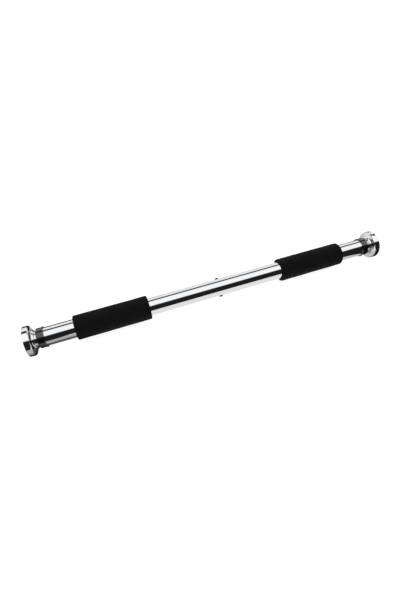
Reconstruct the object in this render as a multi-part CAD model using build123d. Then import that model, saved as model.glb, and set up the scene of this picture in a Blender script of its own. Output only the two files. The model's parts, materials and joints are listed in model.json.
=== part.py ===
"""Telescopic doorway pull-up bar.

A chromed outer tube holds a plug at its middle.  Two drive screws, one right-handed and one
left-handed, stand out of the plug along the bar.  Each screw turns in a nut fixed in the inner
end of an inner tube, so turning the outer tube drives both inner tubes, their end cups and
rubber pads outward against the door jambs.

Frame: X along the bar, Z up, origin at the middle of the bar on its axis.  Every right-hand
piece is drawn along +Z (outward) and laid along +X; the left-hand piece is its mirror image
in the YZ plane.  The threads are right-handed on the right and left-handed on the left, and
are drawn as rings of the thread's profile at its pitch, in a nut with a plain bore.
"""
from build123d import *
from math import floor
import os

# ---- driving dimensions, mm ----
TUBE_OD = 32.0              # outer tube
TUBE_WALL = 1.5
TUBE_LENGTH = 630.0
INNER_WALL = 1.5            # inner tubes
INNER_GAP = 0.5             # radial, between the inner and the outer tube
NECK = 3.0                  # inner tube that shows between collar and cup, closed
TRAVEL = 120.0              # how far each inner tube runs out

GRIP_LENGTH = 129.0
GRIP_INSET = 58.0           # the outer tube's end to the grip's outer end
GRIP_WALL = 5.5
GRIP_EDGE = 1.6             # rounding of the foam's outer edges

COLLAR_LENGTH = 12.5
COLLAR_WALL = 1.2
COLLAR_END = 3.5            # thickness of the end that guides the inner tube
COLLAR_LIP = 0.6            # how far the lip stands above the sleeve
COLLAR_LIP_WIDTH = 1.6
COLLAR_CHAMFER = 1.5

CUP_RADIUS = 26.0
CUP_DEPTH = 15.5            # rim to the hub's outer face
CUP_WALL = 1.5
RIM_LENGTH = 9.6            # straight rim, from its edge to the corner of the shoulder
SHOULDER_ROUND = 3.4
HUB_MARGIN = 3.6            # how far the hub's foot stands out from the inner tube
HUB_HEIGHT = 3.4            # hub's face to the bottom of the step around it
HUB_TAPER = 0.8
HUB_ROUND = 1.8
STEP_ROUND = 1.2

PAD_PROUD = 0.5             # the pad stands this far out of the cup
PAD_GAP = 0.3               # between the pad's edge and the cup
PAD_GROOVES = 3
PAD_GROOVE_WIDTH = 1.6
PAD_GROOVE_DEPTH = 1.2

PLUG_HALF = 22.0            # half the length of the plug at the middle of the bar
PLUG_SOCKET = 18.0          # how deep a drive screw sits in the plug
SCREW_PITCH = 4.0
SCREW_ROOT_RADIUS = 5.0
SCREW_CREST_RADIUS = 7.0
SCREW_ROOT_WIDTH = 2.7      # width of the thread's ridge at its root
SCREW_CREST_WIDTH = 1.3
SCREW_TAIL_RADIUS = 4.0     # turned-down end that carries the stop
STOP_WASHER_THICKNESS = 2.5
STOP_NUT_HEIGHT = 6.5
STOP_NUT_RADIUS = 7.5       # across the corners

NUT_FLANGE = 2.0            # thickness of each flange of the drive nut
NUT_THREAD = 16.0           # threaded length
RING_WIDTH = 6.0            # glide ring
RING_SPLIT = 1.6
RING_THICKNESS = 3.5
NUT_PIN_RADIUS = 2.0

RIVET_RADIUS = 2.5
RIVET_HEAD_RADIUS = 3.3
RIVET_HEAD_HEIGHT = 1.8
RIVET_DEPTH = 7.0           # how far a rivet reaches in from the tube's surface
RIVET_ANGLE = 53.3          # degrees from straight up, about the bar
RIVET_OFFSET = 4.6          # the rivets stand this far to the right of the bar's middle
SCREW_PIN_RADIUS = 1.5

END_PLUG_LENGTH = 22.0
BOLT_RADIUS = 4.0           # the bolt that holds a cup to its end plug
BOLT_REACH = 18.0           # how deep it goes into the end plug, which is deeper
BOLT_HEAD_RADIUS = 7.5      # across the corners
BOLT_HEAD_HEIGHT = 5.0
WASHER_RADIUS = 10.0
WASHER_THICKNESS = 1.6

# ---- clearances, mm ----
FIT = 0.05                  # radial, between pieces that are fixed together
RUN = 0.08                  # radial, between pieces that slide or turn on each other
SIDE = 0.2                  # axial, beside a ring that turns in its groove
THREAD_RADIAL = 0.10        # between the crests of the thread and the nut's bore
NUT_GAP = 2.0               # nut to plug when closed, and nut to stop when run out

# ---- worked-out dimensions ----
TUBE_R = TUBE_OD / 2
TUBE_BORE = TUBE_R - TUBE_WALL
TUBE_HALF = TUBE_LENGTH / 2
INNER_R = TUBE_BORE - INNER_GAP
INNER_BORE = INNER_R - INNER_WALL
COLLAR_FACE = TUBE_HALF + COLLAR_END
HUB_FACE = COLLAR_FACE + NECK
HUB_RADIUS = INNER_R + HUB_MARGIN
CUP_MOUTH = HUB_FACE + CUP_DEPTH
SHOULDER = CUP_MOUTH - RIM_LENGTH
SHOULDER_FLOOR = SHOULDER + 0.8 * CUP_WALL
SHOULDER_FILLET = min(SHOULDER_ROUND, 0.45 * (CUP_RADIUS - HUB_RADIUS))
RING_BORE_RADIUS = TUBE_BORE - RING_THICKNESS
RING_START = PLUG_HALF + NUT_GAP + NUT_FLANGE
INNER_START = RING_START + RING_WIDTH + NUT_FLANGE
NUT_END = INNER_START + NUT_THREAD
SCREW_SHOULDER = NUT_END + TRAVEL + NUT_GAP
STOP_TOP = SCREW_SHOULDER + STOP_WASHER_THICKNESS + STOP_NUT_HEIGHT
STOP_WASHER_RADIUS = INNER_BORE - 1.0
THREAD_START = PLUG_HALF + 0.5


def rod(radius, low, high):
    """A round bar along Z from low to high."""
    return Pos(0, 0, low) * Cylinder(radius, high - low, align=(Align.CENTER, Align.CENTER, Align.MIN))


def pipe(radius, bore, low, high):
    return rod(radius, low, high) - rod(bore, low - 1, high + 1)


def hexagon(corner_radius, low, high):
    return Pos(0, 0, low) * extrude(RegularPolygon(corner_radius, 6), high - low)


def turned(points, radii):
    """A solid turned about Z from a closed outline of (radius, height) points with rounded corners."""
    outline = [(r, 0, z) for r, z in points]
    if any(radii):
        edges = FilletPolyline(*outline, radius=radii, close=True)
    else:
        edges = Polyline(*outline, close=True)
    return revolve(Face(Wire(edges.edges())), Axis.Z)


def lay(piece):
    """Turn a piece drawn along +Z so that it lies along +X."""
    return Rot(0, 90, 0) * piece


def across(radius, low, high):
    """A round bar along the rivets' line, which crosses the bar's axis."""
    return Rot(-RIVET_ANGLE, 0, 0) * rod(radius, low, high)


# ---- the outer tube and what is fixed to it ----
def make_outer_tube():
    rivet_holes = Pos(RIVET_OFFSET, 0, 0) * across(RIVET_RADIUS + FIT, -TUBE_OD, TUBE_OD)
    return lay(pipe(TUBE_R, TUBE_BORE, -TUBE_HALF, TUBE_HALF)) - rivet_holes


def make_grip():
    outer = TUBE_R + GRIP_WALL
    bore = TUBE_R + FIT
    edge = min(GRIP_EDGE, 0.4 * GRIP_WALL)
    high = TUBE_HALF - GRIP_INSET
    low = high - GRIP_LENGTH
    return lay(turned([(bore, low), (outer, low), (outer, high), (bore, high)], [0, edge, edge, 0]))


def make_collar():
    """Sleeve over the outer tube's end, with an end wall whose bore guides the inner tube."""
    start = COLLAR_FACE - COLLAR_LENGTH
    bore = INNER_R + RUN
    sleeve = TUBE_R + FIT + COLLAR_WALL
    lip = sleeve + COLLAR_LIP
    outline = [
        (bore, start),
        (lip, start),
        (lip, start + COLLAR_LIP_WIDTH),
        (sleeve, start + COLLAR_LIP_WIDTH),
        (sleeve, COLLAR_FACE - COLLAR_CHAMFER),
        (sleeve - COLLAR_CHAMFER, COLLAR_FACE),
        (bore, COLLAR_FACE),
    ]
    body = turned(outline, [0, 0.3, 0.3, 0.2, 0.6, 0.4, 0])
    return lay(body - rod(TUBE_R + FIT, start - 1, TUBE_HALF))


def pin_place():
    """Where a pin crosses the plug and a drive screw's shank: half way down the socket."""
    return PLUG_HALF - PLUG_SOCKET / 2


def make_centre_plug():
    socket = rod(SCREW_ROOT_RADIUS + FIT, PLUG_HALF - PLUG_SOCKET, PLUG_HALF)
    rivet_hole = Pos(RIVET_OFFSET, 0, 0) * across(RIVET_RADIUS + FIT, TUBE_R - RIVET_DEPTH - 0.2, TUBE_R)
    plug = lay(rod(TUBE_BORE - FIT, -PLUG_HALF, PLUG_HALF))
    for side in (1, -1):
        plug -= lay(socket) if side == 1 else mirror(lay(socket), Plane.YZ)
        plug -= rivet_hole if side == 1 else rivet_hole.rotate(Axis.X, 180)
        plug -= Pos(side * pin_place(), 0, 0) * across(SCREW_PIN_RADIUS + FIT, -TUBE_R, TUBE_R)
    return plug


def make_centre_rivets():
    """Two domed rivets that hold the plug, on opposite sides of the tube."""
    head = rod(RIVET_HEAD_RADIUS, TUBE_R, TUBE_R + RIVET_HEAD_HEIGHT)
    head = fillet(head.edges().sort_by(Axis.Z)[-1], 0.8 * RIVET_HEAD_HEIGHT)
    upright = rod(RIVET_RADIUS, TUBE_R - RIVET_DEPTH, TUBE_R + 0.2) + head
    rivet = Pos(RIVET_OFFSET, 0, 0) * Rot(-RIVET_ANGLE, 0, 0) * upright
    return Compound([rivet, rivet.rotate(Axis.X, 180)])


def make_screw_pins():
    """A pin through the plug and each drive screw's shank."""
    half = TUBE_BORE - 0.5
    pin = across(SCREW_PIN_RADIUS, -half, half)
    return Compound([Pos(side * pin_place(), 0, 0) * pin for side in (-1, 1)])


def make_drive_screw():
    """Shank, thread and turned-down tail; the thread is drawn as one ring for each of its turns."""
    flank = (SCREW_ROOT_WIDTH - SCREW_CREST_WIDTH) / 2
    tail_end = STOP_TOP + 2
    outline = [(0, PLUG_HALF - PLUG_SOCKET + 0.3), (SCREW_ROOT_RADIUS, PLUG_HALF - PLUG_SOCKET + 0.3)]
    for turn in range(floor((SCREW_SHOULDER - THREAD_START - SCREW_ROOT_WIDTH) / SCREW_PITCH) + 1):
        low = THREAD_START + turn * SCREW_PITCH
        outline += [
            (SCREW_ROOT_RADIUS, low),
            (SCREW_CREST_RADIUS, low + flank),
            (SCREW_CREST_RADIUS, low + flank + SCREW_CREST_WIDTH),
            (SCREW_ROOT_RADIUS, low + SCREW_ROOT_WIDTH),
        ]
    outline += [
        (SCREW_ROOT_RADIUS, SCREW_SHOULDER),
        (SCREW_TAIL_RADIUS, SCREW_SHOULDER),
        (SCREW_TAIL_RADIUS, tail_end - 1),
        (SCREW_TAIL_RADIUS - 1, tail_end),
        (0, tail_end),
    ]
    pin_hole = Pos(pin_place(), 0, 0) * across(SCREW_PIN_RADIUS + FIT, -TUBE_R, TUBE_R)
    return lay(turned(outline, [0] * len(outline))) - pin_hole


def make_stop_washer():
    low = SCREW_SHOULDER
    return lay(pipe(STOP_WASHER_RADIUS, SCREW_TAIL_RADIUS + FIT, low, low + STOP_WASHER_THICKNESS))


def make_stop_nut():
    low = SCREW_SHOULDER + STOP_WASHER_THICKNESS
    nut = hexagon(STOP_NUT_RADIUS, low, low + STOP_NUT_HEIGHT)
    return lay(nut - rod(SCREW_TAIL_RADIUS + FIT, low - 1, STOP_TOP + 1))


# ---- the glide ring ----
def make_glide_ring():
    """Split ring that slides in the outer tube while the drive nut turns inside it."""
    low = RING_START + SIDE
    high = RING_START + RING_WIDTH - SIDE
    ring = pipe(TUBE_BORE - RUN, RING_BORE_RADIUS + RUN, low, high)
    middle = (TUBE_BORE + RING_BORE_RADIUS) / 2
    split = Pos(middle, 0, (low + high) / 2) * Box(TUBE_BORE - RING_BORE_RADIUS + 4, RING_SPLIT, RING_WIDTH + 2)
    return lay(ring - split)


# ---- the inner tube and what is fixed to it ----
def nut_pin_place():
    return INNER_START + NUT_THREAD / 2


def nut_pin(radius, extra=0.0):
    """Two pins across the inner tube's wall into the drive nut, level with the tube's surface."""
    depth = 2.5
    pin = across(radius, INNER_BORE - depth - extra, INNER_R - 0.2 + extra * 4)
    pins = [Pos(nut_pin_place(), 0, 0) * pin, Pos(nut_pin_place(), 0, 0) * pin.rotate(Axis.X, 180)]
    return pins


def make_inner_tube():
    tube = lay(pipe(INNER_R, INNER_BORE, INNER_START, HUB_FACE))
    for hole in nut_pin(NUT_PIN_RADIUS + FIT, 0.2):
        tube -= hole
    return tube


def make_drive_nut():
    """Nut with two flanges: the glide ring runs between them."""
    flange = TUBE_BORE - 0.8
    spigot = RING_BORE_RADIUS
    inner = INNER_BORE - FIT
    outline = [
        (0, RING_START - NUT_FLANGE),
        (flange, RING_START - NUT_FLANGE),
        (flange, RING_START),
        (spigot, RING_START),
        (spigot, RING_START + RING_WIDTH),
        (INNER_R - 0.2, RING_START + RING_WIDTH),
        (INNER_R - 0.2, INNER_START),
        (inner, INNER_START),
        (inner, NUT_END),
        (0, NUT_END),
    ]
    nut = turned(outline, [0] * len(outline))
    nut -= rod(SCREW_CREST_RADIUS + 0.6, RING_START - NUT_FLANGE - 1, INNER_START)
    nut = lay(nut - rod(SCREW_CREST_RADIUS + THREAD_RADIAL, INNER_START - 1, NUT_END + 1))
    for hole in nut_pin(NUT_PIN_RADIUS + FIT, 0.2):
        nut -= hole
    return nut


def make_nut_pins():
    return Compound(nut_pin(NUT_PIN_RADIUS))


def make_end_plug():
    plug = rod(INNER_BORE - FIT, HUB_FACE - END_PLUG_LENGTH, HUB_FACE)
    return lay(plug - rod(BOLT_RADIUS + FIT, HUB_FACE - END_PLUG_LENGTH - 1, HUB_FACE + 1))


def make_end_cup():
    """Pressed cup: a rim, a rounded shoulder, a stepped back and a raised hub with a bolt hole."""
    step = HUB_FACE + HUB_HEIGHT
    hole = BOLT_RADIUS + 0.3
    outline = [
        (hole, HUB_FACE),
        (HUB_RADIUS - HUB_TAPER, HUB_FACE),
        (HUB_RADIUS, step),
        (CUP_RADIUS, SHOULDER),
        (CUP_RADIUS, CUP_MOUTH),
        (CUP_RADIUS - CUP_WALL, CUP_MOUTH),
        (CUP_RADIUS - CUP_WALL, SHOULDER_FLOOR),
        (HUB_RADIUS - CUP_WALL, step + CUP_WALL),
        (HUB_RADIUS - HUB_TAPER - CUP_WALL, HUB_FACE + CUP_WALL),
        (hole, HUB_FACE + CUP_WALL),
    ]
    shoulder_inside = max(SHOULDER_FILLET - CUP_WALL, 0.4)
    hub_inside = max(HUB_ROUND - CUP_WALL, 0.3)
    radii = [0, HUB_ROUND, STEP_ROUND, SHOULDER_FILLET, 0.6, 0.6, shoulder_inside, STEP_ROUND, hub_inside, 0]
    return lay(turned(outline, radii))


def make_cup_washer():
    low = HUB_FACE + CUP_WALL
    return lay(pipe(WASHER_RADIUS, BOLT_RADIUS + 0.2, low, low + WASHER_THICKNESS))


def make_cup_bolt():
    seat = HUB_FACE + CUP_WALL + WASHER_THICKNESS
    shank = rod(BOLT_RADIUS, HUB_FACE - BOLT_REACH, seat + 1)
    return lay(shank + hexagon(BOLT_HEAD_RADIUS, seat, seat + BOLT_HEAD_HEIGHT))


def make_pad():
    """Rubber pad with a ringed tread; a pocket in its back clears the bolt."""
    face = CUP_MOUTH + PAD_PROUD
    back = SHOULDER_FLOOR + 0.1
    radius = CUP_RADIUS - CUP_WALL - PAD_GAP
    pad = turned([(0, back), (radius, back), (radius, face), (0, face)], [0, SHOULDER_FILLET, 0.8, 0])
    bolt_top = HUB_FACE + CUP_WALL + WASHER_THICKNESS + BOLT_HEAD_HEIGHT
    pad -= rod(BOLT_HEAD_RADIUS + 1.5, back - 1, bolt_top + 0.8)
    spacing = radius / (PAD_GROOVES + 1)
    for ring in range(1, PAD_GROOVES + 1):
        middle = ring * spacing + 0.5
        half = PAD_GROOVE_WIDTH / 2
        pad -= pipe(middle + half, middle - half, face - PAD_GROOVE_DEPTH, face + 1)
    return lay(pad)


SINGLE = {
    "outer_tube": make_outer_tube,
    "centre_plug": make_centre_plug,
    "centre_rivets": make_centre_rivets,
    "screw_pins": make_screw_pins,
}
HANDED = {
    "grip": make_grip,
    "collar": make_collar,
    "drive_screw": make_drive_screw,
    "stop_washer": make_stop_washer,
    "stop_nut": make_stop_nut,
    "glide_ring": make_glide_ring,
    "inner_tube": make_inner_tube,
    "drive_nut": make_drive_nut,
    "nut_pins": make_nut_pins,
    "end_plug": make_end_plug,
    "end_cup": make_end_cup,
    "cup_washer": make_cup_washer,
    "cup_bolt": make_cup_bolt,
    "pad": make_pad,
}

os.makedirs("parts", exist_ok=True)
for name, make in SINGLE.items():
    export_step(make(), f"parts/{name}.step")
for name, make in HANDED.items():
    right = make()
    export_step(right, f"parts/right_{name}.step")
    export_step(mirror(right, Plane.YZ), f"parts/left_{name}.step")
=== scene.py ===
"""Looks of the telescopic pull-up bar: chrome, foam grips, moulded collars, studio and camera."""
import bpy
import bmesh
import json
import math
from mathutils import Matrix, Vector, noise


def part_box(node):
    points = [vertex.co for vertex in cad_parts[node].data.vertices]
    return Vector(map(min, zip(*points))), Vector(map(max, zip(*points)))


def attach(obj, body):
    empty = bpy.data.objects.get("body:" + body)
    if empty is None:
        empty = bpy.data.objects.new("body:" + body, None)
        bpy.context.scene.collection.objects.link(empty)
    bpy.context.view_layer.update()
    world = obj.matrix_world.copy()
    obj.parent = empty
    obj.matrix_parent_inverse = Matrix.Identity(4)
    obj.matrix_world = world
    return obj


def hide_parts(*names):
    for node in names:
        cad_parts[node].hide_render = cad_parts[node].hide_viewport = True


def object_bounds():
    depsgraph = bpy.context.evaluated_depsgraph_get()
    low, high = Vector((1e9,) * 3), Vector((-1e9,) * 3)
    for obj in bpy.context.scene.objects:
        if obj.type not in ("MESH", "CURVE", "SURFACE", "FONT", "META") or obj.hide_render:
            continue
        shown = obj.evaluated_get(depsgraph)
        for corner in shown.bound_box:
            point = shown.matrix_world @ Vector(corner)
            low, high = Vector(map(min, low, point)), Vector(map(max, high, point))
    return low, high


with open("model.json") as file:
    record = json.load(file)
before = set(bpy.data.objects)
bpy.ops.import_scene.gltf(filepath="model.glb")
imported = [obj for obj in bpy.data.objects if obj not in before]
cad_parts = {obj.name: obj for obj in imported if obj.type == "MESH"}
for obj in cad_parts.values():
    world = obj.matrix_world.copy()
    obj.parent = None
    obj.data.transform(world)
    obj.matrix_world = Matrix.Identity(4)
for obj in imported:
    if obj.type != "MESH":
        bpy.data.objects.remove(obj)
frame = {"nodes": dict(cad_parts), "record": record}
cad_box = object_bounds()

SIDES = ("left", "right")
MM = 0.001


# ---------------------------------------------------------------- node helpers
def new_material(name):
    """An empty node material and its Principled shader."""
    mat = bpy.data.materials.new(name)
    mat.use_nodes = True
    tree = mat.node_tree
    shader = tree.nodes["Principled BSDF"]
    return mat, tree, shader


def add(tree, kind, inputs=None, **settings):
    """A node with its settings and inputs; an input that is a socket is linked, any other is a value."""
    node = tree.nodes.new(kind)
    for key, value in settings.items():
        setattr(node, key, value)
    for key, value in (inputs or {}).items():
        if isinstance(value, bpy.types.NodeSocket):
            tree.links.new(value, node.inputs[key])
        else:
            node.inputs[key].default_value = value
    return node


def maths(tree, operation, *values):
    """The result of a Math node on sockets or numbers."""
    return add(tree, "ShaderNodeMath", dict(enumerate(values)), operation=operation).outputs[0]


def place(tree, stretch=(1.0, 1.0, 1.0)):
    """Object coordinates in metres, stretched along the axes."""
    where = add(tree, "ShaderNodeTexCoord")
    return add(tree, "ShaderNodeMapping", {"Vector": where.outputs["Object"], "Scale": stretch}).outputs[0]


def speckle(tree, scale, detail=3.0, stretch=(1.0, 1.0, 1.0), roughness=0.5):
    """A noise value between 0 and 1 at that many features for each metre."""
    inputs = {"Vector": place(tree, stretch), "Scale": scale, "Detail": detail, "Roughness": roughness}
    return add(tree, "ShaderNodeTexNoise", inputs).outputs["Fac"]


def between(tree, value, low, high, out_low, out_high):
    """value mapped smoothly from low..high to out_low..out_high, and kept inside it."""
    inputs = {"Value": value, "From Min": low, "From Max": high, "To Min": out_low, "To Max": out_high}
    return add(tree, "ShaderNodeMapRange", inputs, interpolation_type="SMOOTHSTEP").outputs[0]


# places of a colour Mix node's sockets, whose names repeat for each data type
MIX_FACTOR, MIX_A, MIX_B, MIX_RESULT = 0, 6, 7, 2


def mix_colours(tree, factor, first, second):
    """first where factor is 0, second where it is 1; each is a colour or a socket."""
    inputs = {MIX_FACTOR: factor, MIX_A: first, MIX_B: second}
    return add(tree, "ShaderNodeMix", inputs, data_type="RGBA").outputs[MIX_RESULT]


def blend_colours(tree, factor, dark, light):
    return mix_colours(tree, factor, (*dark, 1.0), (*light, 1.0))


def bump(tree, shader, height, distance, strength=1.0):
    inputs = {"Height": height, "Distance": distance, "Strength": strength}
    normal = add(tree, "ShaderNodeBump", inputs).outputs["Normal"]
    tree.links.new(normal, shader.inputs["Normal"])


# ---------------------------------------------------------------- materials
def chrome(name, colour, smudge=0.05):
    """Bright plating: nearly a mirror, with faint wiping marks and a trace of the drawn tube under it."""
    mat, tree, shader = new_material(name)
    shader.inputs["Metallic"].default_value = 1.0
    haze = speckle(tree, 28.0, 4.0)
    tint = blend_colours(tree, haze, [c * 0.94 for c in colour], colour)
    tree.links.new(tint, shader.inputs["Base Color"])
    wiped = speckle(tree, 60.0, 5.0, (0.4, 2.0, 2.0), 0.6)
    tree.links.new(between(tree, wiped, 0.35, 0.75, 0.02, 0.02 + smudge), shader.inputs["Roughness"])
    drawn = speckle(tree, 900.0, 2.0, (0.02, 1.0, 1.0))
    bump(tree, shader, drawn, 0.000004, 0.35)
    return mat


def foam():
    """Closed-cell foam: soft black skin, fine cells, a little dust-grey in random patches."""
    mat, tree, shader = new_material("black_foam")
    cells = add(tree, "ShaderNodeTexVoronoi", {"Vector": place(tree), "Scale": 900.0}, feature="F1")
    cloud = speckle(tree, 120.0, 4.0)
    tone = blend_colours(tree, cloud, (0.0025, 0.0025, 0.0028), (0.006, 0.006, 0.0068))
    tree.links.new(tone, shader.inputs["Base Color"])
    tree.links.new(between(tree, cloud, 0.3, 0.7, 0.78, 0.92), shader.inputs["Roughness"])
    shader.inputs["Specular IOR Level"].default_value = 0.12
    bump(tree, shader, cells.outputs["Distance"], 0.0004, 0.5)
    return mat


def moulded(name, dark, light, gloss, grain=700.0, depth=0.00001, shine=0.5):
    """Moulded plastic or rubber with a faint grain and uneven gloss."""
    mat, tree, shader = new_material(name)
    cloud = speckle(tree, 90.0, 3.0)
    tree.links.new(blend_colours(tree, cloud, dark, light), shader.inputs["Base Color"])
    tree.links.new(between(tree, cloud, 0.3, 0.7, gloss, gloss + 0.08), shader.inputs["Roughness"])
    shader.inputs["Specular IOR Level"].default_value = shine
    bump(tree, shader, speckle(tree, grain, 2.0), depth, 0.5)
    return mat


def machined(name, colour, roughness=0.3):
    """Turned steel: fine rings from the tool, and patches that are duller."""
    mat, tree, shader = new_material(name)
    shader.inputs["Metallic"].default_value = 1.0
    cloud = speckle(tree, 70.0, 4.0)
    tone = blend_colours(tree, cloud, [c * 0.7 for c in colour], colour)
    tree.links.new(tone, shader.inputs["Base Color"])
    rings = speckle(tree, 1500.0, 1.0, (1.0, 0.05, 0.05))
    worn = between(tree, cloud, 0.3, 0.7, roughness - 0.08, roughness + 0.1)
    tree.links.new(worn, shader.inputs["Roughness"])
    bump(tree, shader, rings, 0.00001, 0.4)
    return mat


MATERIALS = {
    "chrome": chrome("bright_chrome", (0.66, 0.665, 0.675)),
    "cup_chrome": chrome("cup_chrome", (0.66, 0.665, 0.675), 0.04),
    "foam": foam(),
    "collar_plastic": moulded(
        "collar_plastic", (0.003, 0.003, 0.0035), (0.006, 0.006, 0.0065), 0.07, shine=0.9
    ),
    "pad_rubber": moulded("pad_rubber", (0.012, 0.012, 0.012), (0.024, 0.024, 0.025), 0.6, 900.0, 0.00004),
    "nylon": moulded("natural_nylon", (0.62, 0.60, 0.54), (0.72, 0.70, 0.64), 0.4),
    "plain_steel": machined("plain_steel", (0.42, 0.42, 0.43)),
    "zinc_steel": machined("zinc_plated_steel", (0.62, 0.64, 0.68), 0.25),
    "rivet_steel": machined("blackened_steel", (0.10, 0.10, 0.11), 0.3),
}


def paint_cad_nodes():
    slots = {entry["node"]: entry["material_slot"] for entry in frame["record"]["subparts"]}
    for node, obj in frame["nodes"].items():
        obj.data.materials.clear()
        obj.data.materials.append(MATERIALS[slots[node]])


# ---------------------------------------------------------------- meshes
def arc_corners(points, radii, steps=6):
    """A closed outline of (x, r) points with each corner rounded by its radius."""
    line = []
    count = len(points)
    for i, radius in enumerate(radii):
        here = Vector(points[i])
        to_last = (Vector(points[i - 1]) - here).normalized()
        to_next = (Vector(points[(i + 1) % count]) - here).normalized()
        if radius <= 0:
            line.append(here)
            continue
        half = to_last.angle(to_next) / 2
        reach = radius / math.tan(half)
        centre = here + (to_last + to_next).normalized() * (radius / math.sin(half))
        start = here + to_last * reach - centre
        turn = (here + to_next * reach - centre).angle_signed(start)
        for k in range(steps + 1):
            line.append(centre + Matrix.Rotation(turn * k / steps, 2) @ start)
    return line


def lathe(name, outline, around):
    """A closed ring turned about X from a closed outline of (x, r) points."""
    mesh = bpy.data.meshes.new(name)
    bm = bmesh.new()
    rings = []
    for k in range(around):
        angle = 2 * math.pi * k / around
        y, z = math.cos(angle), math.sin(angle)
        rings.append([bm.verts.new((x, r * y, r * z)) for x, r in outline])
    for k in range(around):
        one, two = rings[k], rings[(k + 1) % around]
        for i in range(len(outline)):
            j = (i + 1) % len(outline)
            bm.faces.new((one[i], one[j], two[j], two[i]))
    bmesh.ops.recalc_face_normals(bm, faces=bm.faces)
    bm.to_mesh(mesh)
    bm.free()
    mesh.shade_smooth()
    obj = bpy.data.objects.new(name, mesh)
    bpy.context.scene.collection.objects.link(obj)
    return obj


GRIP_FIT = 0.05 * MM        # between the tube and the foam's bore
GRIP_ROUNDING = 1.9 * MM    # of the outer edges
GRIP_SHRINK = 0.15 * MM     # keeps the uneven skin inside the grip's solid


def make_grip(side):
    """Foam sleeve with rounded ends and the slight unevenness of a pushed-on tube."""
    node = f"{side}_grip"
    low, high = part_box(node)
    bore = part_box("outer_tube")[1].z + GRIP_FIT
    outer = high.z
    rounding = GRIP_ROUNDING
    length = high.x - low.x
    steps = 90
    outline = arc_corners(
        [(low.x, bore), (high.x, bore), (high.x, outer), (low.x, outer)],
        [0.0, 0.0, rounding, rounding],
    )
    flat_start, flat_end = high.x - rounding, low.x + rounding
    last = len(outline) - 1
    row = [Vector((flat_start + (flat_end - flat_start) * k / steps, outer)) for k in range(1, steps)]
    middle = next(i for i in range(last) if (outline[i] - outline[i + 1]).length > 0.5 * length and i > 1)
    outline[middle + 1:middle + 1] = row
    grip = lathe(f"{side}_foam_grip", outline, around=128)
    shift = Vector((3.1, 0.7, 9.2)) * (1 if side == "left" else 2)
    for v in grip.data.vertices:
        radius = math.hypot(v.co.y, v.co.z)
        if radius < outer - rounding:
            continue
        broad = noise.noise(v.co * 45 + shift) * 0.22 * MM
        fine = noise.noise(v.co * 160 + shift) * 0.08 * MM
        shrink = 1 + (broad + fine - GRIP_SHRINK) / radius
        v.co.y *= shrink
        v.co.z *= shrink
    grip.data.materials.append(MATERIALS["foam"])
    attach(grip, "bar")
    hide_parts(node)


# ---------------------------------------------------------------- studio
def glowing(name, matte, glow):
    """A white surface that glows by itself; glow is a number, or a function that makes it in the tree."""
    mat = bpy.data.materials.new(name)
    mat.use_nodes = True
    tree = mat.node_tree
    tree.nodes.clear()
    strength = glow(tree) if callable(glow) else glow
    skin = add(tree, "ShaderNodeBsdfDiffuse", {"Color": (matte, matte, matte, 1.0)})
    light = add(tree, "ShaderNodeEmission", {"Color": (1.0, 1.0, 1.0, 1.0), "Strength": strength})
    both = add(tree, "ShaderNodeAddShader", {0: skin.outputs[0], 1: light.outputs[0]})
    add(tree, "ShaderNodeOutputMaterial", {"Surface": both.outputs[0]})
    return mat


def flat_card(name, corners, height, mat):
    """A level polygon that belongs to the studio."""
    mesh = bpy.data.meshes.new(name)
    mesh.from_pydata([(x, y, height) for x, y in corners], [], [range(len(corners))])
    mesh.materials.append(mat)
    card = bpy.data.objects.new(name, mesh)
    bpy.context.scene.collection.objects.link(card)
    return card


# The lit table that the chrome mirrors, in metres: it is square to the camera, whose direction over
# the floor is TABLE_AWAY.  Only reflections see it and the cards beside it.
TABLE_ACROSS = Vector((0.94, -0.342))
TABLE_AWAY = Vector((0.342, 0.94))
TABLE_LEFT, TABLE_RIGHT, TABLE_NEAR, TABLE_FAR = -0.205, 0.315, -0.463, 2.5
TABLE_BRIGHTNESS = 1.15
TABLE_DIMMED = 0.65         # share of that brightness at the right end
# The table's end glows dimmer and fades darker along the bar: painted shade of the bar, seen only in
# reflections.
TABLE_END = [(-0.6, -0.205), (-0.2, -0.205), (-0.2, 0.06), (-0.6, 0.06)]
TABLE_END_BRIGHTNESS = 0.62
TABLE_END_DARKEST = 0.1     # painted shade of the bar, darkest along y = -TABLE_END_SHADE
TABLE_END_SHADE = 0.018
# Near-black cards of painted contact shade under the cups, seen only in reflections.
CONTACT_SHADE = {"left": (-0.36, -0.316), "right": (0.331, 0.36)}
SHADE_NEAR, SHADE_FAR = -0.03, 0.006
SHADE_BRIGHTNESS = 0.03
CARD_STEP = 0.05 * MM       # height of each card above the one under it, at least
FLOOR_REACH = 30


def along(tree, axis):
    """The place along one axis, in metres."""
    return add(tree, "ShaderNodeSeparateXYZ", {0: place(tree)}).outputs[axis]


def table_glow(tree):
    """Even light that dims towards the right end."""
    return between(tree, along(tree, "X"), 0.2, 0.32, TABLE_BRIGHTNESS, TABLE_DIMMED * TABLE_BRIGHTNESS)


def table_end_glow(tree):
    """Grey light that fades to a painted shade of the bar."""
    apart = maths(tree, "ABSOLUTE", maths(tree, "ADD", along(tree, "Y"), TABLE_END_SHADE))
    return between(tree, apart, 0.006, 0.042, TABLE_END_DARKEST, TABLE_END_BRIGHTNESS)


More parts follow.
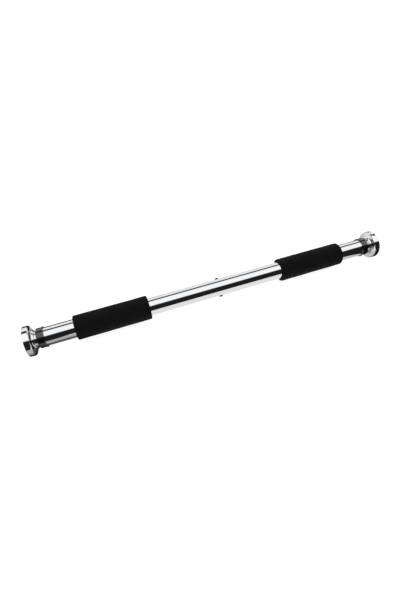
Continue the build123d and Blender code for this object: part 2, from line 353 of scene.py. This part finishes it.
def add_floor():
    """A pale floor, the small lit table that the chrome mirrors in its place, and cards of painted shade
    beside it.
    """
    ground = cad_box[0][2]
    reach = FLOOR_REACH
    corners = [(-reach, -reach), (reach, -reach), (reach, reach), (-reach, reach)]
    floor = flat_card("floor", corners, ground, glowing("pale_floor", 0.3, 0.93))
    floor.visible_glossy = False
    ends = [(TABLE_LEFT, TABLE_NEAR), (TABLE_RIGHT, TABLE_NEAR)]
    ends += [(TABLE_RIGHT, TABLE_FAR), (TABLE_LEFT, TABLE_FAR)]
    corners = [TABLE_ACROSS * u + TABLE_AWAY * w for u, w in ends]
    lit = glowing("lit_table", 0.0, table_glow)
    # painted shade: the table's end dimmed where the bar's shadow would fall
    grey = glowing("table_end_painted_shade", 0.0, table_end_glow)
    # painted shade: a near-black glowing sheet standing in for the cups' contact shadow
    shade = glowing("shade", 0.0, SHADE_BRIGHTNESS)
    cards = [
        flat_card("lit_table", corners, ground + 2 * CARD_STEP, lit),
        flat_card("table_end_painted_shade", TABLE_END, ground + CARD_STEP, grey),
    ]
    for side, (start, end) in CONTACT_SHADE.items():
        corners = [(start, SHADE_NEAR), (end, SHADE_NEAR), (end, SHADE_FAR), (start, SHADE_FAR)]
        cards.append(flat_card(f"{side}_contact_shade", corners, ground + 4 * CARD_STEP, shade))
    for card in cards:
        card.visible_camera = False
        card.visible_diffuse = False
        card.visible_shadow = False


# Plain softboxes above the floor, each as long as the bar and more.  Angles are in degrees from the
# front horizon, over the top, to the back.
SOFTBOXES = {"overhead": (90, 25, 1.4), "background": (160, 15, 1.2)}   # middle, half height, brightness
SOFTBOX_FADE = 10           # degrees over which each one's edge fades out
ROOM_BRIGHTNESS = 0.02


def add_studio_light():
    """Surroundings that the chrome mirrors; the camera itself sees plain white above the floor."""
    world = bpy.data.worlds.new("studio")
    bpy.context.scene.world = world
    world.use_nodes = True
    tree = world.node_tree
    tree.nodes.clear()
    where = add(tree, "ShaderNodeTexCoord").outputs["Generated"]
    split = add(tree, "ShaderNodeSeparateXYZ", {0: where})
    y, z = split.outputs["Y"], split.outputs["Z"]
    front = maths(tree, "MULTIPLY", y, -1.0)
    angle = maths(tree, "ARCTAN2", z, front)
    behind = maths(tree, "LESS_THAN", angle, -math.pi / 2)
    turned = maths(tree, "MULTIPLY_ADD", behind, 2 * math.pi, angle)
    light = ROOM_BRIGHTNESS
    for middle, half_height, brightness in SOFTBOXES.values():
        away = maths(tree, "ABSOLUTE", maths(tree, "SUBTRACT", turned, math.radians(middle)))
        edge, end = math.radians(half_height), math.radians(half_height + SOFTBOX_FADE)
        light = maths(tree, "ADD", light, between(tree, away, edge, end, brightness, 0.0))
    studio = add(tree, "ShaderNodeBackground", {"Color": (1.0, 1.0, 1.0, 1.0), "Strength": light})
    plain = add(tree, "ShaderNodeBackground", {"Color": (1.0, 1.0, 1.0, 1.0), "Strength": 1.0})
    seen = add(tree, "ShaderNodeLightPath").outputs["Is Camera Ray"]
    mixed = add(tree, "ShaderNodeMixShader", {0: seen, 1: studio.outputs[0], 2: plain.outputs[0]})
    add(tree, "ShaderNodeOutputWorld", {"Surface": mixed.outputs[0]})


CAMERA_PLACE = Vector((-0.1746, -0.3918, 0.5255))
CAMERA_TURNED_RIGHT = 19.97     # degrees from looking along +Y
CAMERA_DOWN = 52.73             # degrees below level
CAMERA_LENS = 22.03             # mm


def add_camera():
    """Looks down on the bar from in front of its left half, level, with a wide lens."""
    data = bpy.data.cameras.new("camera")
    data.sensor_width = 36.0
    data.lens = CAMERA_LENS
    data.clip_start = 0.01
    data.clip_end = 200.0
    camera = bpy.data.objects.new("camera", data)
    camera.location = CAMERA_PLACE
    tilt = math.radians(90 - CAMERA_DOWN)
    camera.rotation_euler = (tilt, 0.0, -math.radians(CAMERA_TURNED_RIGHT))
    bpy.context.scene.collection.objects.link(camera)
    bpy.context.scene.camera = camera


paint_cad_nodes()
for side in SIDES:
    make_grip(side)
add_floor()
add_studio_light()
add_camera()
bpy.context.scene.view_settings.view_transform = "Standard"
